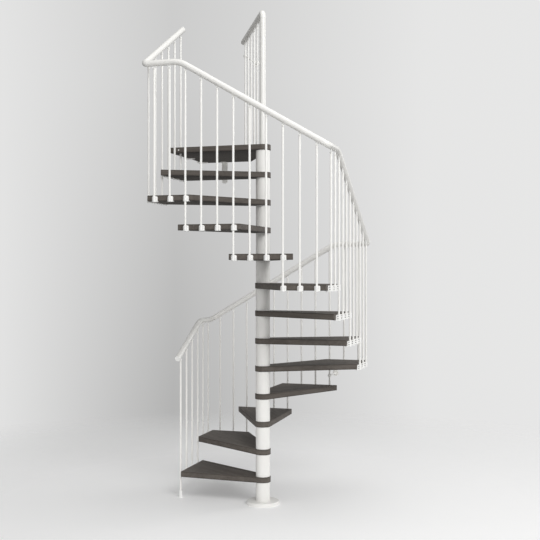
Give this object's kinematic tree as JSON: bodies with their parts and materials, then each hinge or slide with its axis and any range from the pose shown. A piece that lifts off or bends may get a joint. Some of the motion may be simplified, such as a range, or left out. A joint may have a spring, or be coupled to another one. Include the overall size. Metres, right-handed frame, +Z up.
{
  "type": "spiral staircase",
  "caption": "Square-plan spiral staircase kit: dark timber treads round a white steel column, with slim balusters, a white tube handrail and a landing.",
  "frame": {"origin": "centre of the base plate's underside, on the column's axis at floor level", "axes": "+Z up along the column; the first tread starts at -X and the stair climbs clockwise seen from above, so +Y is the back by the wall and -Y the front"},
  "size_m": [1.5425, 1.6685, 3.9421],
  "materials": {
    "dark_wood": "dark stained timber, satin lacquer, fine lengthwise grain",
    "white_paint": "warm white powder coat, satin",
    "white_plastic": "white moulded nylon, satin"
  },
  "bodies": {
    "root": {"baluster_feet": "white_plastic", "balusters_back": "white_paint", "balusters_front": "white_paint", "balusters_landing": "white_paint", "balusters_left_lower": "white_paint", "balusters_left_upper": "white_paint", "balusters_right": "white_paint", "base_plate": "white_paint", "centre_pole": "white_paint", "clamps_back": "white_plastic", "clamps_front": "white_plastic", "clamps_left_lower": "white_plastic", "clamps_left_upper": "white_plastic", "clamps_right": "white_plastic", "column_sleeves": "white_paint", "handrail_back": "white_paint", "handrail_front": "white_paint", "handrail_landing": "white_paint", "handrail_left_lower": "white_paint", "handrail_left_upper": "white_paint", "handrail_right": "white_paint", "knuckles_back": "white_plastic", "knuckles_front": "white_plastic", "knuckles_landing": "white_plastic", "knuckles_left_lower": "white_plastic", "knuckles_left_upper": "white_plastic", "knuckles_right": "white_plastic", "landing": "dark_wood", "landing_brackets": "white_paint", "rail_end_caps": "white_plastic", "rail_joint_rings": "white_plastic", "tread_01": "dark_wood", "tread_02": "dark_wood", "tread_03": "dark_wood", "tread_04": "dark_wood", "tread_05": "dark_wood", "tread_06": "dark_wood", "tread_07": "dark_wood", "tread_08": "dark_wood", "tread_09": "dark_wood", "tread_10": "dark_wood", "tread_11": "dark_wood", "tread_12": "dark_wood", "wall_ties": "white_paint"}
  },
  "joints": []
}
